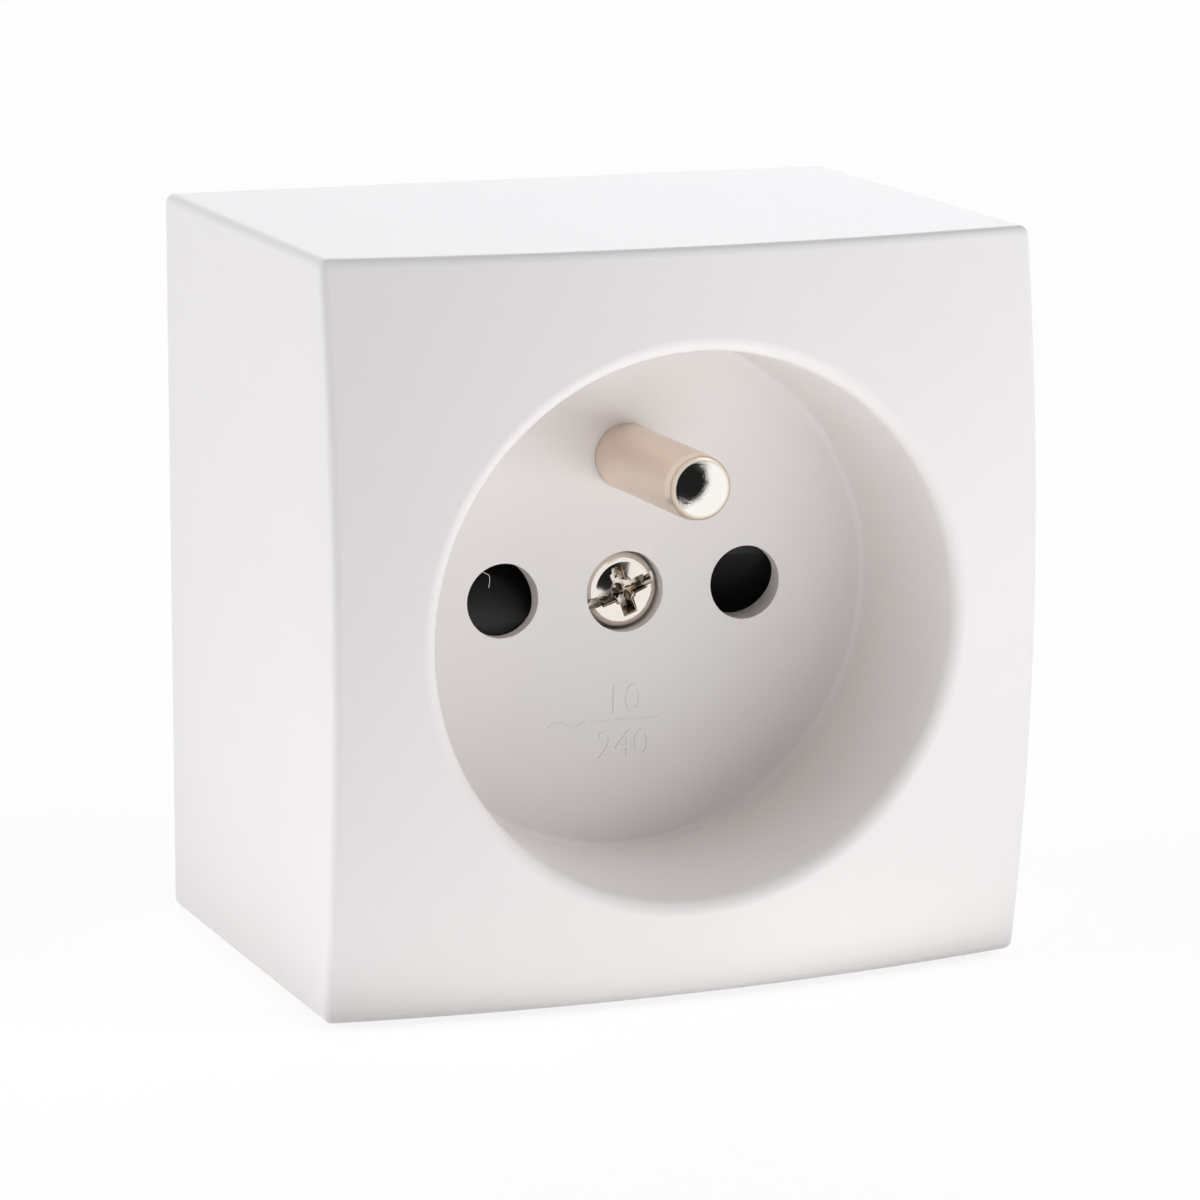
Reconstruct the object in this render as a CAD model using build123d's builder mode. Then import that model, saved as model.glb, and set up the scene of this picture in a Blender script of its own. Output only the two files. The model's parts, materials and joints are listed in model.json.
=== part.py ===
from build123d import *
import os
from math import cos, pi, radians, sin, sqrt, tan

# Surface mounted socket outlet with an earth pin and a swinging safety shutter, in millimetres.
# The origin is the centre of the back, which lies on the wall. X points right and Z points up.
# The front faces -Y, so every depth below is measured from the wall towards the front.

# Case: a square box with nearly straight sides and a front that bulges like a slice of a ball.
front_width = 53.6
front_height = 53.7
side_lean = 0.1
top_lean = 0.45
corner_depth = 34.9
front_bulge_radius = 147.0
case_edge_radius = 0.7
case_wall = 2.0
rim_wall = 1.1

# Plug well
well_rim_radius = 19.67
well_floor_radius = 19.1
well_floor_depth = 24.3
well_wall = 1.8
well_lip_radius = 0.9
well_corner_radius = 0.5
floor_thickness = 2.0
floor_web = 1.0
plug_hole_radius = 2.75
collar_wall = 0.7
collar_length = 2.6
collar_middle = 1.4
collar_slope = 20.0

# Plug that the socket takes
pin_spacing = 19.0
plug_pin_radius = 2.4

# Earth pin
earth_offset = 10.0
earth_pin_radius = 2.4
earth_pin_length = 14.0
earth_stem_radius = 2.0
earth_tenon_radius = 1.4
earth_rivet_radius = 2.0
earth_rivet_height = 0.8
earth_nose_length = 1.1
earth_nose_taper = 0.22
earth_nose_radius = 0.3
earth_nose_crown = 0.14
earth_hole_clearance = 0.2
earth_shoulder_gap = 0.1

# Base plate
base_thickness = 3.0
base_clearance = 0.15
base_corner_radius = 1.0
wall_screw_side_edge = 6.15
wall_screw_end_edge = 6.55
wall_screw_hole_radius = 2.1
wall_screw_seat_radius = 4.0
wall_screw_seat_depth = 1.2
cable_entry_width = 17.0
cable_entry_height = 10.0
cable_entry_edge = 3.55
cable_entry_corner = 2.0

# Contact block and its lid
block_height = 13.0
block_floor = 1.2
block_half_band = 8.2
block_side_room = 1.2
block_top_room = 1.75
block_corner_radius = 1.0
chamber_wall = 1.1
lid_thickness = 1.9
tower_top = 1.3
driver_hole_radius = 2.2

# Terminals: a screw that turns on the spot draws a cage forward and pinches the wire.
cage_width = 6.6
cage_length = 5.0
cage_side = 0.9
cage_jaw = 1.2
cage_plate = 1.4
cage_travel = 3.8
cage_clearance = 0.2
cage_back_gap = 0.3
cage_corner_radius = 0.5
wire_gap = 4.4
terminal_shank_radius = 1.7
thread_clearance = 0.05
terminal_head_radius = 2.75
terminal_head_height = 2.0
terminal_head_gap = 0.15
terminal_slot_width = 0.9
terminal_slot_depth = 0.9
terminal_edge_radius = 0.3
terminal_tip_bevel = 0.3

# Contacts
contact_clearance = 0.05
contact_wall = 0.6
contact_slit = 0.7
contact_back_gap = 0.4
contact_front_gap = 1.0
contact_chamber_radius = 4.0
strip_thickness = 1.0
strip_root_width = 3.2
strip_tongue_width = 4.0
strip_band_width = 2.4
strip_band_offset = 5.6
strip_clearance = 0.2
earth_pad_radius = 3.0
clip_thickness = 0.4
clip_height = 2.4
clip_opening = 1.6

# Shutter
post_radius = 4.1
post_clearance = 0.05
post_height = 2.8
shutter_hub_radius = 5.8
shutter_blade_radius = 13.0
shutter_blade_half_angle = 20.0
shutter_edge_thickness = 0.6
shutter_ramp_start = 1.9
shutter_gap = 0.2
shutter_stop_gap = 0.3
shutter_stop_width = 1.2
shutter_stop_length = 2.0
shutter_stop_height = 1.2
shutter_recess_clearance = 0.8
spring_radius = 4.95
spring_wire_radius = 0.2
spring_pitch = 0.6
spring_turns = 2.5
spring_groove_clearance = 0.2
spring_leg_length = 0.7
spring_leg_radius = 0.18

# Cover screw and its nut
cover_screw_head_radius = 2.8
cover_screw_head_height = 1.8
cover_screw_head_crown = 0.2
cover_screw_edge_radius = 0.75
cover_screw_shank_radius = 1.5
cover_screw_length = 9.6
cover_screw_sink = 0.3
cover_screw_slot_width = 0.8
cover_screw_slot_depth = 0.75
cover_screw_cross_width = 1.15
cover_screw_cross_length = 3.8
cover_screw_cross_depth = 1.2
cover_screw_cross_corner = 0.25
cover_screw_slot_turn = 20.0
cross_taper = 14.0
cross_centre_radius = 1.1
cross_centre_depth = 1.7
cross_centre_taper = 28.0
screw_hole_clearance = 0.2
boss_clearance = 0.1
boss_floor = 1.2
nut_across_flats = 5.5
nut_height = 2.4
nut_clearance = 0.1
nut_bevel_angle = 30.0

# Small countersunk screws of the lid and of the block
small_screw_head_radius = 2.3
small_screw_shank_radius = 1.2
small_screw_length = 8.0
small_screw_slot_width = 0.6
small_screw_slot_depth = 0.5
countersink_angle = 82.0
lid_screw_x = 6.6
lid_screw_z = -6.6
block_screw_inset = 5.6
block_screw_z = -6.0

# Depths that follow from the sizes above
front_reach = sqrt(front_bulge_radius**2 - (front_width**2 + front_height**2) / 4)
bulge_centre = corner_depth - front_reach
apex_depth = bulge_centre + front_bulge_radius
rim_depth = bulge_centre + sqrt(front_bulge_radius**2 - well_rim_radius**2)
floor_back = well_floor_depth - floor_thickness
web_back = well_floor_depth - floor_web
block_front = base_thickness + block_height
lid_front = block_front + lid_thickness
chamber_back = base_thickness + block_floor
jaw_back = chamber_back + cage_back_gap
strip_back = jaw_back + cage_jaw + wire_gap
strip_front = strip_back + strip_thickness
cage_front = strip_front + cage_back_gap + cage_plate
cage_closed_front = cage_front + cage_travel
head_back = max(cage_closed_front, block_front) + terminal_head_gap
head_front = head_back + terminal_head_height
tower_bore_front = head_front + terminal_head_gap
tower_front = tower_bore_front + tower_top
contact_back = chamber_back + contact_back_gap
contact_front = block_front - contact_front_gap
shutter_back = lid_front + shutter_gap
shutter_front = web_back - shutter_gap
spring_back = shutter_back + spring_wire_radius
spring_front = spring_back + spring_pitch * spring_turns
screw_seat = well_floor_depth - cover_screw_sink - cover_screw_head_height
boss_back = screw_seat - boss_floor
post_front = min(lid_front + post_height, boss_back - shutter_gap)
screw_tip = screw_seat - cover_screw_length
nut_front = block_front - nut_clearance
nut_back = nut_front - nut_height

# Radii and widths that follow
contact_radius = plug_pin_radius + contact_clearance
sleeve_radius = contact_radius + contact_wall
clip_inner_radius = sleeve_radius + contact_clearance
hub_bore_radius = post_radius + post_clearance
boss_radius = post_radius - boss_clearance
screw_hole_radius = cover_screw_shank_radius + screw_hole_clearance
chamber_width = cage_width + 2 * cage_clearance
chamber_length = cage_length + 2 * cage_clearance
chamber_far = chamber_width / 2 + chamber_wall
plate_width = front_width + 2 * side_lean - 2 * (rim_wall + base_clearance)
plate_height = front_height + 2 * top_lean - 2 * (rim_wall + base_clearance)
wall_screw_span = plate_width - 2 * wall_screw_side_edge
wall_screw_rise = plate_height - 2 * wall_screw_end_edge
cable_entry_drop = plate_height / 2 - cable_entry_edge - cable_entry_height / 2
mouth_width = cage_width - 2 * cage_side
leg_room = spring_wire_radius + spring_groove_clearance / 2
small_hole_radius = small_screw_shank_radius + thread_clearance
block_half_width = front_width / 2 - case_wall - block_side_room
block_top = front_height / 2 - case_wall - block_top_room
terminal_offset = block_half_width - chamber_far
earth_terminal_offset = block_top - chamber_far
block_screw_x = terminal_offset - block_screw_inset
hole_spots = [(-pin_spacing / 2, 0), (pin_spacing / 2, 0)]
lid_screw_spots = {"left": (-lid_screw_x, lid_screw_z), "right": (lid_screw_x, lid_screw_z)}
block_screw_spots = {"left": (-block_screw_x, block_screw_z), "right": (block_screw_x, block_screw_z)}

# Each terminal has a spot, the direction across its cage, and the way to what its strip serves.
terminals = {
    "live": ((terminal_offset, 0), (1, 0, 0), terminal_offset - pin_spacing / 2),
    "neutral": ((-terminal_offset, 0), (1, 0, 0), pin_spacing / 2 - terminal_offset),
    "earth": ((0, earth_terminal_offset), (0, 0, 1), earth_terminal_offset - earth_offset),
}


def at_depth(depth):
    """The plane parallel to the wall at this depth, seen from the front."""
    return Plane(origin=(0, -depth, 0), x_dir=(1, 0, 0), z_dir=(0, -1, 0))


def terminal_plane(name, depth):
    """The same, centred on a terminal, with y towards the side where its strip comes in."""
    (x, z), across, reach = terminals[name]
    return Plane(origin=(x, -depth, z), x_dir=across, z_dir=(0, -1, 0))


def case_size(depth, inset):
    """Width and height of the leaning case walls at a depth, taken in by an inset all round."""
    share = 1 - depth / corner_depth
    return (
        front_width + 2 * side_lean * share - 2 * inset,
        front_height + 2 * top_lean * share - 2 * inset,
    )


def case_block(inset):
    """The box with its bulged front, taken in by an inset, inside the block being built."""
    ends = []
    for depth in (0, apex_depth):
        with BuildSketch(at_depth(depth)) as end:
            Rectangle(*case_size(depth, inset))
        ends.append(end.sketch)
    loft(ends, ruled=True)
    with Locations((0, -bulge_centre, 0)):
        Sphere(front_bulge_radius - inset, mode=Mode.INTERSECT)


def turned(points, corner=0):
    """A solid turned from points of radius and depth, with the second one rounded if asked."""
    with BuildSketch(Plane.XY) as profile:
        with BuildLine():
            Polyline(*[(radius, -depth) for radius, depth in points], close=True)
        make_face()
        if corner:
            rounded = (points[1][0], -points[1][1], 0)
            fillet(profile.vertices().sort_by_distance(rounded)[0], corner)
    revolve(profile.sketch, axis=Axis.Y)


def crown(height, top, radius, rise):
    """Domes the front end of the solid being built, on an axis at a height above the middle."""
    dome = (radius**2 + rise**2) / (2 * rise)
    with Locations((0, dome - top, height)):
        Sphere(dome, mode=Mode.INTERSECT)


def spring_end(turns):
    """Where the shutter spring's wire has got to after some turns, seen from the front."""
    angle = 2 * pi * turns - pi / 2
    return (spring_radius * cos(angle), spring_radius * sin(angle))


def raise_circle(spots, radius, start, end, mode=Mode.ADD):
    """Round pegs or holes at some spots, from one depth to another."""
    with BuildSketch(at_depth(start)) as rounds:
        with Locations(*spots):
            Circle(radius)
    extrude(rounds.sketch, amount=end - start, mode=mode)


# Cover: the case, the well and the boss for its screw in one moulding
with BuildPart() as case_hollow:
    case_block(case_wall)

with BuildPart() as well_hollow:
    wall_lean = (well_rim_radius - well_floor_radius) / (rim_depth - well_floor_depth)
    beyond = apex_depth + case_wall
    turned(
        [
            (0, well_floor_depth),
            (well_floor_radius, well_floor_depth),
            (well_floor_radius + wall_lean * (beyond - well_floor_depth), beyond),
            (0, beyond),
        ],
        well_corner_radius,
    )

with BuildPart() as well_cup:
    cup_radius = well_rim_radius + well_wall
    cup_front = bulge_centre + sqrt((front_bulge_radius - case_wall / 2) ** 2 - cup_radius**2)
    turned(
        [
            (0, floor_back),
            (well_floor_radius + well_wall, floor_back),
            (cup_radius, cup_front),
            (0, cup_front),
        ]
    )

with BuildPart() as cover:
    case_block(0)
    outer_edges = cover.edges().filter_by(lambda edge: edge.center().Y < -case_edge_radius)
    fillet(outer_edges, case_edge_radius)
    add(case_hollow.part, mode=Mode.SUBTRACT)
    with BuildSketch(at_depth(0)):
        Rectangle(*case_size(0, rim_wall))
    extrude(amount=base_thickness, mode=Mode.SUBTRACT)
    add(well_cup.part)
    add(well_hollow.part, mode=Mode.SUBTRACT)
    lip = cover.edges().filter_by(lambda edge: (edge @ 0).Y < well_lip_radius / 2 - rim_depth)
    fillet(lip, well_lip_radius)
    raise_circle(
        [(0, 0)], shutter_blade_radius + shutter_recess_clearance, floor_back, web_back, Mode.SUBTRACT
    )
    raise_circle([(0, 0)], boss_radius, boss_back, web_back)
    collar_back = well_floor_depth - collar_length
    collar_radius = min(plug_hole_radius + collar_wall, pin_spacing / 2 - shutter_hub_radius - shutter_gap)
    raise_circle(hole_spots, collar_radius, collar_back, web_back)
    for side, middle in ((-1, -pin_spacing / 2), (1, pin_spacing / 2)):
        half = collar_radius + collar_wall
        rise = tan(radians(collar_slope))
        level = (collar_middle - floor_web) / rise
        with BuildSketch(Plane.YZ.offset(middle)):
            with BuildLine():
                Polyline(
                    (-web_back, side * level),
                    (collar_middle + rise * half - well_floor_depth, -side * half),
                    (-collar_back + collar_length, -side * half),
                    (-collar_back + collar_length, side * half),
                    (-web_back, side * half),
                    close=True,
                )
            make_face()
        extrude(amount=half, both=True, mode=Mode.SUBTRACT)
    raise_circle(hole_spots, plug_hole_radius, collar_back, well_floor_depth, Mode.SUBTRACT)
    raise_circle(
        [(0, earth_offset)],
        earth_stem_radius + earth_hole_clearance,
        web_back,
        well_floor_depth,
        Mode.SUBTRACT,
    )
    recess_radius = cover_screw_head_radius + screw_hole_clearance
    raise_circle([(0, 0)], recess_radius, screw_seat, well_floor_depth, Mode.SUBTRACT)
    raise_circle([(0, 0)], screw_hole_radius, boss_back, screw_seat, Mode.SUBTRACT)
cover.part.label = "cover"

# Base plate, which screws to the wall and nests in the rim of the cover
with BuildPart() as base_plate:
    with BuildSketch(at_depth(0)):
        RectangleRounded(plate_width, plate_height, base_corner_radius)
        with GridLocations(wall_screw_span, wall_screw_rise, 2, 2):
            Circle(wall_screw_hole_radius, mode=Mode.SUBTRACT)
        with Locations((0, -cable_entry_drop)):
            RectangleRounded(
                cable_entry_width, cable_entry_height, cable_entry_corner, mode=Mode.SUBTRACT
            )
    extrude(amount=base_thickness)
    with BuildSketch(at_depth(base_thickness)):
        with GridLocations(wall_screw_span, wall_screw_rise, 2, 2):
            Circle(wall_screw_seat_radius)
    extrude(amount=-wall_screw_seat_depth, mode=Mode.SUBTRACT)
    for x, z in block_screw_spots.values():
        with Locations(Plane(origin=(x, 0, z), x_dir=(1, 0, 0), z_dir=(0, 1, 0))):
            CounterSinkHole(small_hole_radius, small_screw_head_radius, base_thickness)
base_plate.part.label = "base_plate"


def block_outline(inset=0):
    """Front view of the contact block: a wide band with the earth part above it."""
    height = block_top + block_half_band
    with Locations((0, block_top - height / 2)):
        Rectangle(2 * block_half_band - 2 * inset, height - 2 * inset)
    Rectangle(2 * block_half_width - 2 * inset, 2 * block_half_band - 2 * inset)
    fillet(vertices(), block_corner_radius)


def strip_outline(reach, grow=0):
    """A contact strip seen from the front, from what it serves round into its terminal's cage."""
    band_far = strip_band_offset + strip_band_width / 2 + grow
    tongue_near = -cage_length / 2
    tongue_half = strip_tongue_width / 2 + grow
    root_half = strip_root_width / 2 + grow
    root_near = sqrt(sleeve_radius**2 - (strip_root_width / 2) ** 2)
    with Locations((0, (tongue_near + band_far) / 2)):
        Rectangle(2 * tongue_half, band_far - tongue_near)
    with Locations((-reach, (root_near + band_far) / 2)):
        Rectangle(2 * root_half, band_far - root_near)
    side = 1 if reach > 0 else -1
    band_start = -reach - side * root_half
    band_end = side * tongue_half
    with Locations(((band_start + band_end) / 2, strip_band_offset)):
        Rectangle(abs(band_end - band_start), strip_band_width + 2 * grow)


# Contact block, with chambers open to the front for the contacts and the terminal cages
with BuildPart() as contact_block:
    with BuildSketch(at_depth(base_thickness)):
        block_outline()
    extrude(amount=block_height)
    raise_circle(hole_spots, contact_chamber_radius, chamber_back, block_front, Mode.SUBTRACT)
    for name, (spot, across, reach) in terminals.items():
        with BuildSketch(terminal_plane(name, strip_back)):
            strip_outline(reach, strip_clearance)
        extrude(amount=block_front - strip_back, mode=Mode.SUBTRACT)
        with BuildSketch(terminal_plane(name, chamber_back)):
            Rectangle(chamber_width, chamber_length)
        extrude(amount=block_front - chamber_back, mode=Mode.SUBTRACT)
        with BuildSketch(terminal_plane(name, jaw_back + cage_jaw)):
            with Locations((0, -block_half_band / 2)):
                Rectangle(mouth_width, block_half_band)
        extrude(amount=wire_gap, mode=Mode.SUBTRACT)
    with BuildSketch(terminal_plane("earth", strip_back)):
        with Locations((earth_offset - earth_terminal_offset, 0)):
            Circle(earth_pad_radius + strip_clearance)
    extrude(amount=block_front - strip_back, mode=Mode.SUBTRACT)
    rivet_room = earth_rivet_height + cage_back_gap
    raise_circle(
        [(0, earth_offset)],
        earth_rivet_radius + strip_clearance,
        strip_back - rivet_room,
        strip_back,
        Mode.SUBTRACT,
    )
    with BuildSketch(at_depth(block_front)):
        RegularPolygon(nut_across_flats / 2 + nut_clearance, 6, major_radius=False)
    extrude(amount=-(nut_height + 2 * nut_clearance), mode=Mode.SUBTRACT)
    raise_circle([(0, 0)], screw_hole_radius, screw_tip - screw_hole_clearance, block_front, Mode.SUBTRACT)
    lid_hole_back = lid_front - small_screw_length - screw_hole_clearance
    raise_circle(lid_screw_spots.values(), small_hole_radius, lid_hole_back, block_front, Mode.SUBTRACT)
    block_hole_front = small_screw_length + screw_hole_clearance
    raise_circle(
        block_screw_spots.values(), small_hole_radius, base_thickness, block_hole_front, Mode.SUBTRACT
    )
contact_block.part.label = "contact_block"

# Lid of the block: it shuts the chambers, guards the terminal screws and carries the shutter
with BuildPart() as block_lid:
    with BuildSketch(at_depth(block_front)):
        block_outline()
    extrude(amount=lid_thickness)
    for name in terminals:
        with BuildSketch(terminal_plane(name, block_front)):
            tower_size = (chamber_width + 2 * chamber_wall, chamber_length + 2 * chamber_wall)
            RectangleRounded(*tower_size, block_corner_radius)
        extrude(amount=tower_front - block_front)
        with BuildSketch(terminal_plane(name, block_front)):
            Rectangle(chamber_width, chamber_length)
        extrude(amount=cage_closed_front + terminal_head_gap - block_front, mode=Mode.SUBTRACT)
        with BuildSketch(terminal_plane(name, block_front)):
            Circle(terminal_head_radius + cage_clearance)
        extrude(amount=tower_bore_front - block_front, mode=Mode.SUBTRACT)
        with BuildSketch(terminal_plane(name, block_front)):
            Circle(driver_hole_radius)
        extrude(amount=tower_front - block_front, mode=Mode.SUBTRACT)
    raise_circle([(0, 0)], post_radius, lid_front, post_front)
    raise_circle([(0, 0)], screw_hole_radius, block_front, post_front, Mode.SUBTRACT)
    raise_circle(hole_spots, plug_hole_radius, block_front, lid_front, Mode.SUBTRACT)
    raise_circle(
        [(0, earth_offset)], earth_stem_radius + earth_hole_clearance, block_front, lid_front, Mode.SUBTRACT
    )
    stop_angle = shutter_blade_half_angle + shutter_stop_gap / shutter_blade_radius * 180 / pi
    with BuildSketch(at_depth(lid_front)):
        for half_turn in (0, 180):
            with PolarLocations(shutter_blade_radius - shutter_stop_length, 1, half_turn - stop_angle):
                Rectangle(
                    shutter_stop_length, shutter_stop_width, align=(Align.MIN, Align.MAX)
                )
    extrude(amount=shutter_stop_height)
    for x, z in lid_screw_spots.values():
        with Locations(Plane(origin=(x, -lid_front, z), x_dir=(1, 0, 0), z_dir=(0, -1, 0))):
            CounterSinkHole(small_hole_radius, small_screw_head_radius, lid_thickness)
    raise_circle([spring_end(0)], leg_room, lid_front - spring_leg_length, lid_front, Mode.SUBTRACT)
block_lid.part.label = "block_lid"

# Shutter: two ramped blades on a hub, which the plug's pins push round together
with BuildPart() as shutter_rotor:
    with BuildSketch(at_depth(shutter_back)):
        long = 2 * shutter_blade_radius
        spread = long * tan(radians(shutter_blade_half_angle))
        for side in (-1, 1):
            Polygon((0, 0), (side * long, -side * spread), (side * long, side * spread), align=None)
        Circle(shutter_blade_radius, mode=Mode.INTERSECT)
        Circle(shutter_hub_radius)
        Circle(hub_bore_radius, mode=Mode.SUBTRACT)
    extrude(amount=shutter_front - shutter_back)
    ramp_foot = -shutter_blade_radius * sin(radians(shutter_blade_half_angle))
    ramp_foot_depth = shutter_back + shutter_edge_thickness
    ramp_fall = (shutter_front - ramp_foot_depth) / (shutter_ramp_start - ramp_foot)
    above = shutter_ramp_start + shutter_blade_radius
    below = ramp_foot - shutter_blade_radius
    for side in (-1, 1):
        with BuildSketch(Plane.YZ.offset(side * shutter_hub_radius)):
            with BuildLine():
                Polyline(
                    (-shutter_front - ramp_fall * shutter_blade_radius, side * above),
                    (-ramp_foot_depth + ramp_fall * shutter_blade_radius, side * below),
                    (-shutter_front - ramp_fall * shutter_blade_radius, side * below),
                    close=True,
                )
            make_face()
        extrude(amount=side * shutter_blade_radius, mode=Mode.SUBTRACT)
    groove_inner = spring_radius - spring_wire_radius - spring_groove_clearance
    groove_outer = spring_radius + spring_wire_radius + spring_groove_clearance
    groove_height = spring_pitch * spring_turns + 2 * spring_wire_radius + spring_groove_clearance
    with BuildSketch(at_depth(shutter_back)):
        Circle(groove_outer)
        Circle(groove_inner, mode=Mode.SUBTRACT)
    extrude(amount=groove_height, mode=Mode.SUBTRACT)
    leg_hole_end = spring_front + spring_leg_length + spring_groove_clearance
    raise_circle([spring_end(spring_turns)], leg_room, shutter_back, leg_hole_end, Mode.SUBTRACT)
shutter_rotor.part.label = "shutter_rotor"

# Torsion spring that swings the shutter back over the plug holes
with BuildPart() as shutter_spring:
    with BuildLine() as coil:
        Helix(
            spring_pitch,
            spring_front - spring_back,
            spring_radius,
            center=(0, -spring_back, 0),
            direction=(0, -1, 0),
        )
    with BuildSketch(Plane(origin=coil.line @ 0, z_dir=coil.line % 0)):
        Circle(spring_wire_radius)
    sweep(path=coil.line)
    for turns, bend, way in ((0, spring_back, -1), (spring_turns, spring_front, 1)):
        raise_circle(
            [spring_end(turns)],
            spring_leg_radius,
            bend - way * spring_wire_radius / 2,
            bend + way * spring_leg_length,
        )
shutter_spring.part.label = "shutter_spring"

# Contacts for the plug's round pins: a slit sleeve on a strip that runs into the terminal
contacts = {}
for name in ("live", "neutral"):
    (x, z), across, reach = terminals[name]
    sleeve_spot = [(x - reach, 0)]
    with BuildPart() as contact:
        with BuildSketch(terminal_plane(name, strip_back)):
            strip_outline(reach)
        extrude(amount=strip_thickness)
        raise_circle(sleeve_spot, sleeve_radius, contact_back, contact_front)
        raise_circle(sleeve_spot, contact_radius, contact_back, contact_front, Mode.SUBTRACT)
        with BuildSketch(at_depth(strip_front + contact_slit)):
            with Locations(*sleeve_spot):
                Rectangle(4 * contact_radius, contact_slit)
        extrude(amount=block_front - strip_front, mode=Mode.SUBTRACT)
    contact.part.label = name + "_contact"
    contacts[contact.part.label] = contact

# Steel clips that keep the sleeves closed on the pins
clip_back = (strip_front + contact_front - clip_height) / 2
for name in ("live", "neutral"):
    (x, z), across, reach = terminals[name]
    with BuildPart() as clip:
        with BuildSketch(at_depth(clip_back + contact_slit)):
            with Locations((x - reach, 0)):
                Circle(clip_inner_radius + clip_thickness)
                Circle(clip_inner_radius, mode=Mode.SUBTRACT)
            with Locations((x - reach, -clip_inner_radius)):
                Rectangle(clip_opening, 2 * clip_inner_radius, mode=Mode.SUBTRACT)
        extrude(amount=clip_height)
    clip.part.label = name + "_contact_spring"
    contacts[clip.part.label] = clip

# Terminal cages and the screws that draw them forward
for name, (spot, across, reach) in terminals.items():
    with BuildPart() as cage:
        with BuildSketch(terminal_plane(name, jaw_back)):
            RectangleRounded(cage_width, cage_length, cage_corner_radius)
        extrude(amount=cage_front - jaw_back)
        with BuildSketch(terminal_plane(name, jaw_back + cage_jaw)):
            Rectangle(mouth_width, 2 * cage_length)
        extrude(amount=cage_front - cage_plate - jaw_back - cage_jaw, mode=Mode.SUBTRACT)
        with BuildSketch(terminal_plane(name, cage_front)):
            Circle(terminal_shank_radius + thread_clearance)
        extrude(amount=-cage_plate, mode=Mode.SUBTRACT)
    cage.part.label = name + "_cage"
    contacts[cage.part.label] = cage
    with BuildPart() as terminal_screw:
        with BuildSketch(terminal_plane(name, strip_front + thread_clearance)):
            Circle(terminal_shank_radius)
        extrude(amount=head_back - strip_front - thread_clearance)
        with BuildSketch(terminal_plane(name, head_back)):
            Circle(terminal_head_radius)
        extrude(amount=terminal_head_height)
        rounds = terminal_screw.edges().filter_by(GeomType.CIRCLE).sort_by(Axis.Y)
        fillet(rounds[0], terminal_edge_radius)
        chamfer(rounds[-1], terminal_tip_bevel)
        with BuildSketch(terminal_plane(name, head_front)):
            Rectangle(2 * terminal_head_radius, terminal_slot_width)
        extrude(amount=-terminal_slot_depth, mode=Mode.SUBTRACT)
    terminal_screw.part.label = name + "_terminal_screw"
    contacts[terminal_screw.part.label] = terminal_screw

# Earth strip and the earth pin riveted to it
with BuildPart() as earth_strap:
    with BuildSketch(terminal_plane("earth", strip_back)):
        strip_outline(terminals["earth"][2])
        with Locations((earth_offset - earth_terminal_offset, 0)):
            Circle(earth_pad_radius)
            Circle(earth_tenon_radius, mode=Mode.SUBTRACT)
    extrude(amount=strip_thickness)
earth_strap.part.label = "earth_strap"

earth_tip = well_floor_depth + earth_pin_length
earth_shoulder = well_floor_depth + earth_shoulder_gap
earth_face_radius = earth_pin_radius - earth_nose_taper
with BuildPart() as earth_pin:
    with BuildSketch(Plane.YZ):
        with BuildLine():
            Polyline(
                (-strip_back + earth_rivet_height, earth_offset),
                (-strip_back + earth_rivet_height, earth_offset + earth_rivet_radius),
                (-strip_back, earth_offset + earth_rivet_radius),
                (-strip_back, earth_offset + earth_tenon_radius),
                (-strip_front, earth_offset + earth_tenon_radius),
                (-strip_front, earth_offset + earth_stem_radius),
                (-earth_shoulder, earth_offset + earth_stem_radius),
                (-earth_shoulder, earth_offset + earth_pin_radius),
                (earth_nose_length - earth_tip, earth_offset + earth_pin_radius),
                (-earth_tip, earth_offset + earth_face_radius),
                (-earth_tip, earth_offset),
                close=True,
            )
        make_face()
    revolve(axis=Axis((0, 0, earth_offset), (0, 1, 0)))
    crown(earth_offset, earth_tip, earth_face_radius, earth_nose_crown)
    nose = earth_pin.edges().filter_by(GeomType.CIRCLE).sort_by(Axis.Y)[0]
    fillet(nose, earth_nose_radius)
earth_pin.part.label = "earth_pin"

# Screw that holds the cover, in its recess in the middle of the well
with BuildPart() as cover_screw:
    raise_circle([(0, 0)], cover_screw_shank_radius, screw_tip, screw_seat)
    head_top = screw_seat + cover_screw_head_height
    raise_circle([(0, 0)], cover_screw_head_radius, screw_seat, head_top)
    crown(0, head_top, cover_screw_head_radius, cover_screw_head_crown)
    fillet(cover_screw.edges().filter_by(GeomType.CIRCLE).sort_by(Axis.Y)[0], cover_screw_edge_radius)
    with BuildSketch(at_depth(head_top)):
        Rectangle(
            2 * cover_screw_head_radius + cover_screw_edge_radius,
            cover_screw_slot_width,
            rotation=cover_screw_slot_turn,
        )
    extrude(amount=-cover_screw_slot_depth, mode=Mode.SUBTRACT)
    with BuildSketch(at_depth(head_top)):
        for turn in (cover_screw_slot_turn, cover_screw_slot_turn + 90):
            Rectangle(cover_screw_cross_length, cover_screw_cross_width, rotation=turn)
        fillet(vertices().group_by(lambda corner: corner.center().length)[0], cover_screw_cross_corner)
    extrude(amount=-cover_screw_cross_depth, taper=cross_taper, mode=Mode.SUBTRACT)
    with BuildSketch(at_depth(head_top)):
        RegularPolygon(cross_centre_radius, 8, rotation=cover_screw_slot_turn)
    extrude(amount=-cross_centre_depth, taper=cross_centre_taper, mode=Mode.SUBTRACT)
cover_screw.part.label = "cover_screw"

# Nut in the block that this screw goes into, with its corners bevelled at both ends
with BuildPart() as nut_round:
    nut_flat = nut_across_flats / 2
    nut_corner = nut_across_flats / sqrt(3)
    nut_bevel = (nut_corner - nut_flat) * tan(radians(nut_bevel_angle))
    turned(
        [
            (0, nut_back),
            (nut_flat, nut_back),
            (nut_corner, nut_back + nut_bevel),
            (nut_corner, nut_front - nut_bevel),
            (nut_flat, nut_front),
            (0, nut_front),
        ]
    )

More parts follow.
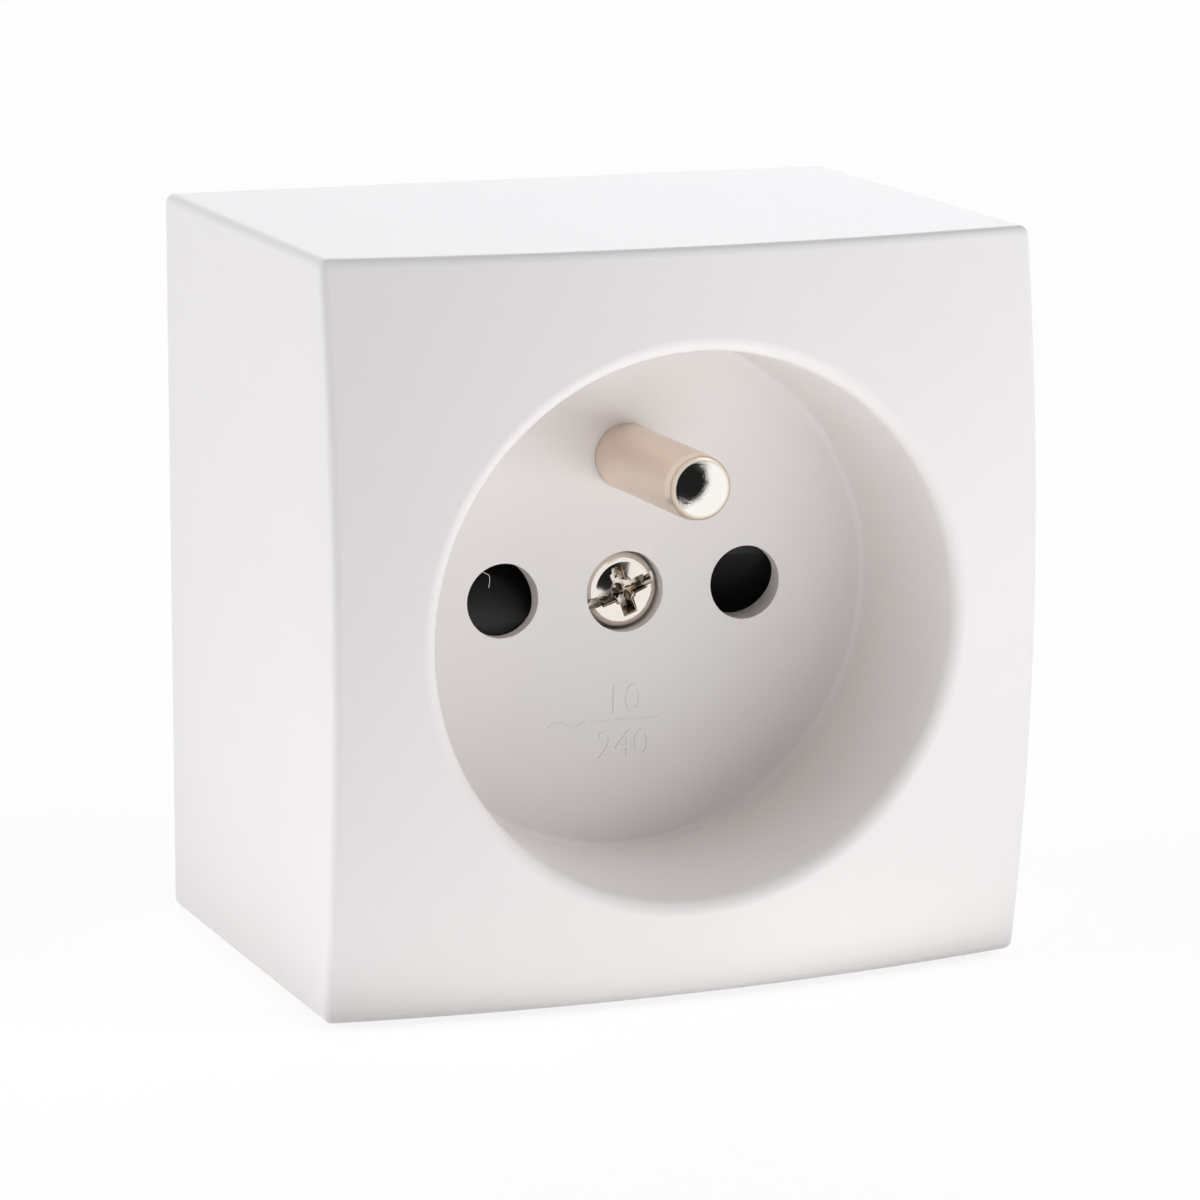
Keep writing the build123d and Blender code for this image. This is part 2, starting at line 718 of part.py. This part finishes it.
with BuildPart() as cover_nut:
    with BuildSketch(at_depth(nut_back)):
        RegularPolygon(nut_flat, 6, major_radius=False)
        Circle(cover_screw_shank_radius + thread_clearance, mode=Mode.SUBTRACT)
    extrude(amount=nut_height)
    add(nut_round.part, mode=Mode.INTERSECT)
cover_nut.part.label = "cover_nut"


def small_screw(spot, seat, way):
    """A slotted countersunk screw with its head at a depth, going that way along the depth."""
    x, z = spot
    sunk = (small_screw_head_radius - small_screw_shank_radius) / tan(radians(countersink_angle / 2))
    plane = Plane(origin=(x, -seat, z), x_dir=(1, 0, 0), z_dir=(0, -way, 0))
    with BuildSketch(plane) as head:
        Circle(small_screw_head_radius - thread_clearance)
    with BuildSketch(plane.offset(sunk)) as neck:
        Circle(small_screw_shank_radius - thread_clearance)
    loft([head.sketch, neck.sketch])
    extrude(neck.sketch, amount=small_screw_length - sunk)
    with BuildSketch(plane) as slot:
        Rectangle(2 * small_screw_head_radius, small_screw_slot_width)
    extrude(slot.sketch, amount=small_screw_slot_depth, mode=Mode.SUBTRACT)


small_screws = {}
for side in ("left", "right"):
    with BuildPart() as lid_screw:
        small_screw(lid_screw_spots[side], lid_front, -1)
    lid_screw.part.label = "lid_screw_" + side
    small_screws[lid_screw.part.label] = lid_screw
    with BuildPart() as block_screw:
        small_screw(block_screw_spots[side], 0, 1)
    block_screw.part.label = "block_screw_" + side
    small_screws[block_screw.part.label] = block_screw

os.makedirs("parts", exist_ok=True)
for piece in (
    cover,
    base_plate,
    contact_block,
    block_lid,
    shutter_rotor,
    shutter_spring,
    earth_strap,
    earth_pin,
    cover_screw,
    cover_nut,
    *contacts.values(),
    *small_screws.values(),
):
    export_step(piece.part, f"parts/{piece.part.label}.step")
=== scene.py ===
import json
import math

import bpy
from mathutils import Matrix, Vector


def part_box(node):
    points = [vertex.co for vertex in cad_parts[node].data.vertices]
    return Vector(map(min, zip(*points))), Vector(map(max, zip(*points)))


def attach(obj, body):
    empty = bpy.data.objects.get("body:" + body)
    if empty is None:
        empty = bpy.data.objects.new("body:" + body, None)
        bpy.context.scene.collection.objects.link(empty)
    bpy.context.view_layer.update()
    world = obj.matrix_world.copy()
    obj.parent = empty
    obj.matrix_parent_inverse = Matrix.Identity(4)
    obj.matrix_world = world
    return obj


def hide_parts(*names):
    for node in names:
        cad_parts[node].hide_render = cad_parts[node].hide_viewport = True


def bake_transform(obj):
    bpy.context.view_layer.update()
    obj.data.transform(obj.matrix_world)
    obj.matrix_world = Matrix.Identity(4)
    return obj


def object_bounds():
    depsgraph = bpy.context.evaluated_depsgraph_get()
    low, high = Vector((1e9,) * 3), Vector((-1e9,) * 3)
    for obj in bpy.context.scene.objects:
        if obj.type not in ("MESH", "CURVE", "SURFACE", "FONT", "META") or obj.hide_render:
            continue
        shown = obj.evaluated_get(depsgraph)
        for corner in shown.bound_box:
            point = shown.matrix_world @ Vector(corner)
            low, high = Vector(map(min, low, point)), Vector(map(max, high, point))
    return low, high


# The looks of a surface mounted socket: finishes, a plain studio and the camera. Lengths are in metres.
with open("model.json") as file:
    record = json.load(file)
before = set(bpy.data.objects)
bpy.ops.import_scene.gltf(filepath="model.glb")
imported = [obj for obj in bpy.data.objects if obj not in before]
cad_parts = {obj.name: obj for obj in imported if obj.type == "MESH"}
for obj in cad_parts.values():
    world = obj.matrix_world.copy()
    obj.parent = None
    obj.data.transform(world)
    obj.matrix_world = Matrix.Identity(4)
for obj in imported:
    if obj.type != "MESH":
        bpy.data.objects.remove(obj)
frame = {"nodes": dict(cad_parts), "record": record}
cad_low, cad_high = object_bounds()
MM = 0.001

# Camera, fitted to the outline of the object in the photograph
view_azimuth = math.radians(-22.192)
view_elevation = math.radians(11.915)
view_roll = math.radians(0.295)
view_distance = 344.007 * MM
view_depth = 22.0 * MM
view_right = -0.94 * MM
view_up = -1.059 * MM
sensor_width = 36.0
view_lens = 141.238
nearest_view = 10.0 * MM

# Soft boxes round the object: azimuth (0 in front, 90 to the right) and elevation in degrees, how
# narrow the light is, and its strength
soft_boxes = (
    (30.0, 52.0, 25.0, 0.7),
    (55.0, 28.0, 25.0, 1.7),
    (55.0, 52.0, 25.0, 2.9),
    (-110.0, 5.0, 10.0, 3.7),
    (-90.0, 40.0, 10.0, 1.1),
    (-60.0, 0.0, 25.0, 0.8),
    (150.0, 5.0, 10.0, 2.6),
    (180.0, 35.0, 10.0, 0.95),
)
room_level = 0.03
light_tint = (0.94, 0.972, 1.0, 1.0)
white = (1.0, 1.0, 1.0, 1.0)

# Lamps that lie on the table and stand for its glow: middle, width, depth, turn in degrees and level
table_lamps = (
    (26.0 * MM, -38.6 * MM, 46.0 * MM, 4.8 * MM, 14.0, 0.3),
    (20.0 * MM, -70.5 * MM, 112.0 * MM, 64.0 * MM, 0.0, 0.62),
    (10.0 * MM, -165.0 * MM, 110.0 * MM, 120.0 * MM, 0.0, 0.9),
    (100.0 * MM, -175.0 * MM, 140.0 * MM, 140.0 * MM, 0.0, 3.4),
    (-85.0 * MM, -30.0 * MM, 100.0 * MM, 60.0 * MM, 0.0, 0.45),
)
lamp_height = 0.2 * MM
watts_per_area = 4.0

# The dark opening of the light tent, which the polished metal reflects
opening_azimuth = math.radians(17.0)
opening_elevation = math.radians(-7.0)
opening_radius = math.radians(9.0)
opening_edge = math.radians(0.5)
opening_waver = math.radians(6.0)
opening_waver_scale = 22.0
opening_darkness = 0.985

# Floor: its size, its tones, the share of it that shows the object's shadow, and how white it looks
floor_size = 6.0
floor_tone_scale = 6.0
floor_dark_tone = (243, 243, 243)
floor_pale_tone = (247, 247, 247)
floor_shadow = 0.2
floor_glow = 1.08

# How fine a noise goes, in octaves
coarse = 2.0
medium = 3.0
fine = 4.0
finest = 5.0

# Plastics: pale and dark tone, roughness, scale and depth of the grain, and gloss
plastics = {
    "cover_plastic": ((243, 237, 234), (240, 234, 231), 0.38, 4000.0, 0.004 * MM, 0.45),
    "base_plastic": ((226, 224, 221), (221, 218, 214), 0.55, 3000.0, 0.01 * MM, 0.5),
    "block_plastic": ((48, 48, 49), (40, 40, 41), 0.5, 3000.0, 0.008 * MM, 0.5),
    "shutter_plastic": ((22, 22, 23), (18, 18, 19), 0.33, 2500.0, 0.006 * MM, 0.35),
}
plastic_tone_scale = 60.0
plastic_patch_size = 3.0
plastic_patch_spread = 0.05

# Plated and rolled metals: pale and dark tone, roughness and depth of the scratches
metals = {
    "spring_steel": ((205, 205, 204), (186, 186, 186), 0.22, 0.002 * MM),
    "contact_brass": ((221, 191, 128), (205, 170, 104), 0.3, 0.003 * MM),
    "terminal_steel": ((205, 206, 203), (186, 187, 183), 0.34, 0.003 * MM),
    "screw_nickel": ((240, 234, 226), (232, 223, 212), 0.1, 0.001 * MM),
}
metal_cloud_scale = 700.0
metal_cloud_roughness = 0.6
metal_spread = 0.07
scratch_scale = 1500.0
scratch_stretch = (1.0, 14.0, 1.0)

# Earth pin: how far its nose, the edge of the nose and the polished end reach behind the tip, and how
# softly each begins
pin_axis_height = 10.0 * MM
nose_reach = 1.15 * MM
nose_blend = 0.1 * MM
painted_shade_edge_reach = 0.5 * MM
painted_shade_edge_blend = 0.05 * MM
end_reach = 0.115 * MM
end_blend = 0.015 * MM

# Finish of the earth pin; the paler nose and whiter end are painted highlights, the darker edge of the
# nose painted shade
pin_side_tone = (234, 218, 200)
pin_dull_speck = (231, 215, 201)
pin_bright_speck = (246, 232, 219)
pin_nose_painted_highlight = (247, 234, 220)
pin_edge_painted_shade = (216, 200, 182)
pin_end_painted_highlight = (248, 244, 238)
pin_speck_scale = 7000.0
pin_speck_roughness = 0.7
pin_speck_depth = 0.003 * MM
pin_least_satin = 0.3
pin_most_satin = 0.4
pin_nose_roughness = 0.32
pin_end_roughness = 0.035

# Cover screw: how far its recess reaches from the middle, and the slot across the head
screw_head_top = -24.0 * MM
screw_recess_radius = 1.9 * MM
screw_recess_depth = 0.25 * MM
screw_recess_blend = 0.04 * MM
screw_slot_width = 0.8 * MM
screw_slot_turn = math.radians(20.0)

# Finish of the cover screw; the dark and pale patches inside its recess are painted shade and painted
# reflections
screw_dark_plate = (236, 226, 215)
screw_pale_plate = (244, 239, 232)
screw_painted_shade_tone = (116, 108, 100)
screw_painted_glint_tone = (226, 216, 205)
screw_mark_and_shade_scale = 900.0
screw_painted_shade_start = 0.4
screw_painted_shade_end = 0.6
screw_mark_depth = 0.08 * MM
screw_least_roughness = 0.03
screw_most_roughness = 0.09

# Well of the cover: how far its floor lies in front of the wall, and the plain figures raised on it,
# each with its height and its foot
well_floor_depth = 24.3 * MM
figures = {
    "figures_upper": ("10", 2.1 * MM, -9.0 * MM),
    "figures_lower": ("240", 2.0 * MM, -12.3 * MM),
}
figure_relief = 0.07 * MM
figure_share = 0.7
figure_middle = 0.0
figure_line_radius = 0.1 * MM
figure_bar_height = -9.5 * MM
figure_bar_half = 2.7 * MM
wave_middle = -4.5 * MM
wave_half = 1.5 * MM
wave_rise = 0.45 * MM
wave_points = ((-1, -0.4), (-0.5, 1), (0.5, -1), (1, 0.4))

# Round lines: the resolution of the section, and the order of the curve
line_resolution = 3
line_order = 3

# Thread of flash that hangs in the left plug hole, with its points from the middle of the hole in mm
plug_hole_left = -9.5 * MM
flash_depth = 24.0 * MM
flash_radius = 0.022 * MM
flash_points = ((-1.56, 2.3), (-1.3, 2.1), (-0.94, 1.95), (-0.86, 1.6), (-0.97, 1.0))


def direction(azimuth, elevation):
    """The unit vector from the object towards a place in the studio, azimuth 0 being in front."""
    return Vector(
        (
            math.sin(azimuth) * math.cos(elevation),
            -math.cos(azimuth) * math.cos(elevation),
            math.sin(elevation),
        )
    )


def make_camera():
    """The camera at the photograph's viewing angle."""
    back = direction(view_azimuth, view_elevation)
    right = Vector((math.cos(view_azimuth), math.sin(view_azimuth), 0))
    up = back.cross(right)
    place = Vector((0, -view_depth, 0)) + right * view_right + up * view_up + back * view_distance
    across = right * math.cos(view_roll) + up * math.sin(view_roll)
    upwards = up * math.cos(view_roll) - right * math.sin(view_roll)
    turn = Matrix((across, upwards, back)).transposed().to_4x4()
    data = bpy.data.cameras.new("camera")
    data.sensor_width = sensor_width
    data.lens = view_lens
    data.clip_start = nearest_view
    camera = bpy.data.objects.new("camera", data)
    bpy.context.scene.collection.objects.link(camera)
    camera.matrix_world = Matrix.Translation(place) @ turn
    bpy.context.scene.camera = camera


class Graph:
    """A short way to write a node tree."""

    def __init__(self, tree):
        self.tree = tree
        self.tree.nodes.clear()

    def node(self, kind, inputs=None, **settings):
        """A node with its settings and inputs. An input that is a socket is linked, else it is set."""
        made = self.tree.nodes.new(kind)
        for name, value in settings.items():
            setattr(made, name, value)
        for key, value in (inputs or {}).items():
            socket = made.inputs[key]
            if isinstance(value, bpy.types.NodeSocket):
                self.tree.links.new(value, socket)
            else:
                socket.default_value = value
        return made

    def math(self, operation, *values):
        """A number worked out from numbers or sockets."""
        return self.node("ShaderNodeMath", dict(enumerate(values)), operation=operation).outputs[0]

    def square(self, value):
        """A number times itself."""
        return self.math("MULTIPLY", value, value)

    def noise(self, where, scale, detail=medium, roughness=0.5):
        """Noise between 0 and 1 at a place."""
        inputs = {"Vector": where, "Scale": scale, "Detail": detail, "Roughness": roughness}
        return self.node("ShaderNodeTexNoise", inputs).outputs["Fac"]

    def between(self, value, low, high, start=0.0, end=1.0):
        """A value moved from the range between start and end to the one between low and high."""
        inputs = {"Value": value, "From Min": start, "From Max": end, "To Min": low, "To Max": high}
        return self.node("ShaderNodeMapRange", inputs).outputs[0]

    def near_tip(self, depth, reach, blend):
        """1 from the tip to a reach behind it, and 0 further back."""
        return self.between(depth, 1.0, 0.0, reach - blend, reach + blend)

    def mix(self, share, first, second):
        """A number between two others."""
        return self.node("ShaderNodeMix", {0: share, 2: first, 3: second}).outputs[0]

    def blend(self, share, first, second):
        """A colour between two others."""
        return self.node("ShaderNodeMix", {0: share, 6: first, 7: second}, data_type="RGBA").outputs[2]

    def nearness(self, ray, azimuth, elevation):
        """The cosine of the angle between a direction and a place in the studio."""
        inputs = {0: ray, 1: direction(azimuth, elevation)}
        return self.node("ShaderNodeVectorMath", inputs, operation="DOT_PRODUCT").outputs["Value"]

    def open_share(self, ray):
        """How much of the dark opening lies in a direction: 1 inside, 0 outside, with an uneven edge."""
        angle = self.math("ARCCOSINE", self.nearness(ray, opening_azimuth, opening_elevation))
        uneven = self.math("SUBTRACT", self.noise(ray, opening_waver_scale, coarse), 0.5)
        edge = self.math("ADD", angle, self.math("MULTIPLY", uneven, opening_waver))
        inner = opening_radius - opening_edge
        outer = opening_radius + opening_edge
        return self.between(edge, opening_darkness, 0.0, inner, outer)

    def bump(self, height, depth):
        """A normal from heights between 0 and 1, that many metres deep."""
        inputs = {"Height": height, "Distance": depth, "Strength": 1.0}
        return self.node("ShaderNodeBump", inputs).outputs[0]


def colour(tone):
    """A colour from the red, green and blue levels, 0 to 255, that a screen shows."""

    def linear(level):
        share = level / 255
        return share / 12.92 if share <= 0.04045 else ((share + 0.055) / 1.055) ** 2.4

    red, green, blue = tone
    return (linear(red), linear(green), linear(blue), 1.0)


def new_material(name):
    """An empty material with its graph and the place on the object, in metres."""
    made = bpy.data.materials.new(name)
    made.use_nodes = True
    graph = Graph(made.node_tree)
    where = graph.node("ShaderNodeTexCoord").outputs["Object"]
    return made, graph, where


def finish_material(graph, inputs):
    """The surface of a material."""
    shader = graph.node("ShaderNodeBsdfPrincipled", inputs)
    graph.node("ShaderNodeOutputMaterial", {"Surface": shader.outputs[0]})


def moulded(name, pale, dark, roughness, grain, depth, gloss):
    """Moulded plastic: a fine grain from the tool, slow changes of tone and of gloss."""
    made, graph, where = new_material(name)
    slow = graph.noise(where, plastic_tone_scale, fine)
    grains = graph.noise(where, grain, coarse)
    patches = graph.noise(where, grain / plastic_patch_size, medium)
    spread = plastic_patch_spread
    inputs = {
        "Base Color": graph.blend(slow, colour(dark), colour(pale)),
        "Roughness": graph.between(patches, roughness - spread, roughness + spread),
        "Specular IOR Level": gloss,
        "Normal": graph.bump(grains, depth),
    }
    finish_material(graph, inputs)
    return made


def earth_pin_finish(name):
    """Nickel plate: satin round the side, smoother on the nose, polished on the end by use; the paler
    nose and whiter end are painted highlights, and the darker edge of the nose is painted shade.
    """
    made, graph, where = new_material(name)
    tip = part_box("earth_pin")[0].y
    depth = graph.math("SUBTRACT", graph.node("ShaderNodeSeparateXYZ", {0: where}).outputs[1], tip)
    on_nose = graph.near_tip(depth, nose_reach, nose_blend)
    painted_edge_shade_share = graph.near_tip(depth, painted_shade_edge_reach, painted_shade_edge_blend)
    on_end = graph.near_tip(depth, end_reach, end_blend)
    speck = graph.noise(where, pin_speck_scale, coarse, pin_speck_roughness)
    cloud = graph.noise(where, metal_cloud_scale, medium)
    specks = graph.blend(speck, colour(pin_dull_speck), colour(pin_bright_speck))
    side = graph.blend(cloud, colour(pin_side_tone), specks)
    # painted highlight on the nose and painted shade on its edge
    nose_painted_light = graph.blend(painted_edge_shade_share, colour(pin_nose_painted_highlight), colour(pin_edge_painted_shade))
    plate = graph.blend(on_nose, side, nose_painted_light)
    satin = graph.between(cloud, pin_least_satin, pin_most_satin)
    smooth = graph.mix(on_nose, satin, pin_nose_roughness)
    inputs = {
        # painted highlight on the end
        "Base Color": graph.blend(on_end, plate, colour(pin_end_painted_highlight)),
        "Metallic": 1.0,
        "Roughness": graph.mix(on_end, smooth, pin_end_roughness),
        "Normal": graph.bump(speck, pin_speck_depth),
    }
    finish_material(graph, inputs)
    return made


def cover_screw_finish(name):
    """Bright nickel plate, with bumpy punch marks inside the recess, and painted shade and painted
    reflections there as dark and pale patches.
    """
    made, graph, where = new_material(name)
    place = graph.node("ShaderNodeSeparateXYZ", {0: where}).outputs
    depth = graph.math("SUBTRACT", place[1], screw_head_top)
    away = graph.math("SQRT", graph.math("ADD", graph.square(place[0]), graph.square(place[2])))
    sideways = graph.math("MULTIPLY", place[0], -math.sin(screw_slot_turn))
    across = graph.math("MULTIPLY_ADD", place[2], math.cos(screw_slot_turn), sideways)
    across = graph.math("ABSOLUTE", across)
    blend = screw_recess_blend
    slot_half = screw_slot_width / 2
    below = graph.between(depth, 0.0, 1.0, screw_recess_depth - blend, screw_recess_depth + blend)
    near = graph.between(away, 1.0, 0.0, screw_recess_radius - blend, screw_recess_radius + blend)
    in_slot = graph.between(across, 1.0, 0.0, slot_half, slot_half + blend)
    inside = graph.math("MULTIPLY", below, graph.math("MAXIMUM", near, in_slot))
    marks_and_painted_shade = graph.noise(where, screw_mark_and_shade_scale, coarse)
    painted_shade_share = graph.between(marks_and_painted_shade, 0.0, 1.0, screw_painted_shade_start, screw_painted_shade_end)
    cloud = graph.noise(where, metal_cloud_scale, fine)
    plate = graph.blend(cloud, colour(screw_dark_plate), colour(screw_pale_plate))
    # painted shade and painted reflections: dark and pale patches inside the recess
    painted_recess_shade = graph.blend(painted_shade_share, colour(screw_painted_shade_tone), colour(screw_painted_glint_tone))
    inputs = {
        "Base Color": graph.blend(inside, plate, painted_recess_shade),
        "Metallic": 1.0,
        "Roughness": graph.between(cloud, screw_least_roughness, screw_most_roughness),
        "Normal": graph.bump(graph.math("MULTIPLY", marks_and_painted_shade, inside), screw_mark_depth),
    }
    finish_material(graph, inputs)
    return made


def plated(name, pale, dark, roughness, depth):
    """Plated or rolled metal: cloudy tone, uneven gloss and fine scratches."""
    made, graph, where = new_material(name)
    cloud = graph.noise(where, metal_cloud_scale, finest, metal_cloud_roughness)
    stretched = graph.node("ShaderNodeMapping", {"Vector": where, "Scale": scratch_stretch}).outputs[0]
    scratch = graph.noise(stretched, scratch_scale, coarse)
    inputs = {
        "Base Color": graph.blend(cloud, colour(dark), colour(pale)),
        "Metallic": 1.0,
        "Roughness": graph.between(cloud, roughness - metal_spread, roughness + metal_spread),
        "Normal": graph.bump(scratch, depth),
    }
    finish_material(graph, inputs)
    return made


def make_materials():
    """A material for each slot of the record."""
    made = {name: moulded(name, *values) for name, values in plastics.items()}
    made.update((name, plated(name, *values)) for name, values in metals.items())
    made["pin_nickel"] = earth_pin_finish("pin_nickel")
    return made


def dress_nodes(materials):
    """Gives each CAD node the material of its slot, or a finish of its own in the same slot."""
    own_finish = {"cover_screw": cover_screw_finish("cover_screw_nickel")}
    for row in frame["record"]["subparts"]:
        node = frame["nodes"][row["node"]]
        node.data.materials.clear()
        node.data.materials.append(own_finish.get(row["node"], materials[row["material_slot"]]))


def add_to_cover(name, data, materials):
    """A small form of the cover's plastic that rides with the housing."""
    data.materials.append(materials["cover_plastic"])
    piece = bpy.data.objects.new(name, data)
    bpy.context.scene.collection.objects.link(piece)
    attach(piece, "housing")
    return piece


def make_twisting_spring(materials):
    """A copy of the shutter's spring in spring steel, in place of the CAD one, which is hidden."""
    piece = bpy.data.objects.new("twisting_spring", frame["nodes"]["shutter_spring"].data.copy())
    bpy.context.scene.collection.objects.link(piece)
    piece.data.materials.clear()
    piece.data.materials.append(materials["spring_steel"])
    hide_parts("shutter_spring")
    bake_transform(piece)


def raised_figures(name, body, height, foot, materials):
    """Plain figures on the floor of the well."""
    data = bpy.data.curves.new(name, "FONT")
    data.body = body
    data.size = height / figure_share
    data.align_x = "CENTER"
    data.extrude = figure_relief
    piece = add_to_cover(name, data, materials)
    piece.location = (figure_middle, -well_floor_depth, foot)
    piece.rotation_euler = (math.pi / 2, 0, 0)


def round_line(name, places, radius, depth, materials):
    """A thin round line through places across and up, at a depth in front of the wall."""
    data = bpy.data.curves.new(name, "CURVE")
    data.dimensions = "3D"
    data.bevel_depth = radius
    data.bevel_resolution = line_resolution
    data.use_fill_caps = True
    spline = data.splines.new("NURBS")
    spline.points.add(len(places) - 1)
    for point, (across, rise) in zip(spline.points, places):
        point.co = (across, -depth, rise, 1.0)
    spline.order_u = line_order
    spline.use_endpoint_u = True
    add_to_cover(name, data, materials)


def make_well_marks(materials):
    """Plain raised figures on the floor of the well, and the thread of flash in the left hole."""
    for name, (body, height, foot) in figures.items():
        raised_figures(name, body, height, foot, materials)
    sunk = well_floor_depth + figure_relief - figure_line_radius
    bar = [(figure_middle + side * figure_bar_half, figure_bar_height) for side in (-1, 0, 1)]
    round_line("figures_bar", bar, figure_line_radius, sunk, materials)
    wave = [
        (wave_middle + share * wave_half, figure_bar_height + rise * wave_rise)
        for share, rise in wave_points
    ]
    round_line("figures_wave", wave, figure_line_radius, sunk, materials)
    flash = [(plug_hole_left + across * MM, rise * MM) for across, rise in flash_points]
    round_line("flash_thread", flash, flash_radius, flash_depth, materials)


def make_floor():
    """A pale floor that the camera sees as white, apart from the object's soft shadow."""
    half = floor_size / 2
    mesh = bpy.data.meshes.new("floor")
    corners = [(x, y, cad_low.z) for x, y in ((-half, -half), (half, -half), (half, half), (-half, half))]
    mesh.from_pydata(corners, [], [(0, 1, 2, 3)])
    floor = bpy.data.objects.new("floor", mesh)
    bpy.context.scene.collection.objects.link(floor)
    made, graph, where = new_material("floor")
    cloud = graph.noise(where, floor_tone_scale, medium)
    tone = graph.blend(cloud, colour(floor_dark_tone), colour(floor_pale_tone))
    paint = graph.node("ShaderNodeBsdfDiffuse", {"Color": tone})
    tip = Vector((0, cad_low.y, pin_axis_height))
    ray = graph.node("ShaderNodeVectorMath", {0: where, 1: tip}, operation="SUBTRACT").outputs[0]
    ray = graph.node("ShaderNodeVectorMath", {0: ray}, operation="NORMALIZE").outputs[0]
    path = graph.node("ShaderNodeLightPath").outputs
    mirrored = graph.math("SUBTRACT", 1.0, graph.open_share(ray))
    level = graph.mix(path["Is Camera Ray"], mirrored, floor_glow)
    glow = graph.node("ShaderNodeEmission", {"Color": white, "Strength": level})
    seen = graph.math("MULTIPLY", path["Is Camera Ray"], 1 - floor_shadow)
    seen = graph.math("MAXIMUM", seen, path["Is Glossy Ray"])
    mixed = graph.node("ShaderNodeMixShader", {0: seen, 1: paint.outputs[0], 2: glow.outputs[0]})
    graph.node("ShaderNodeOutputMaterial", {"Surface": mixed.outputs[0]})
    mesh.materials.append(made)


def make_table_lamps():
    """The glow of the table round the object."""
    for number, (x, y, width, depth, turn, level) in enumerate(table_lamps, 1):
        data = bpy.data.lights.new(f"table_lamp_{number}", "AREA")
        data.shape = "RECTANGLE"
        data.size = width
        data.size_y = depth
        data.energy = level * width * depth * watts_per_area
        data.color = light_tint[:3]
        lamp = bpy.data.objects.new(f"table_lamp_{number}", data)
        lamp.location = (x, y, cad_low.z + lamp_height)
        lamp.rotation_euler = (math.pi, 0, math.radians(turn))
        lamp.visible_camera = False
        lamp.visible_glossy = False
        bpy.context.scene.collection.objects.link(lamp)


def make_sky():
    """The soft boxes, in a room that camera and reflections see as white, apart from the dark opening."""
    world = bpy.data.worlds.new("studio")
    bpy.context.scene.world = world
    world.use_nodes = True
    graph = Graph(world.node_tree)
    ray = graph.node("ShaderNodeTexCoord").outputs["Generated"]
    path = graph.node("ShaderNodeLightPath").outputs
    level = room_level
    for azimuth, elevation, sharpness, strength in soft_boxes:
        near = graph.nearness(ray, math.radians(azimuth), math.radians(elevation))
        lobe = graph.math("POWER", graph.math("MAXIMUM", near, 0.0), sharpness)
        level = graph.math("MULTIPLY_ADD", lobe, strength, level)
    level = graph.math("MAXIMUM", level, path["Is Glossy Ray"])
    level = graph.math("MULTIPLY", level, graph.math("SUBTRACT", 1.0, graph.open_share(ray)))
    light = graph.node("ShaderNodeBackground", {"Color": light_tint, "Strength": level})
    plain = graph.node("ShaderNodeBackground", {"Color": white, "Strength": 1.0})
    mixed = graph.node(
        "ShaderNodeMixShader", {0: path["Is Camera Ray"], 1: light.outputs[0], 2: plain.outputs[0]}
    )
    graph.node("ShaderNodeOutputWorld", {"Surface": mixed.outputs[0]})


bpy.context.scene.view_settings.view_transform = "Standard"
make_camera()
make_sky()
make_table_lamps()
make_floor()
finishes = make_materials()
dress_nodes(finishes)
make_twisting_spring(finishes)
make_well_marks(finishes)
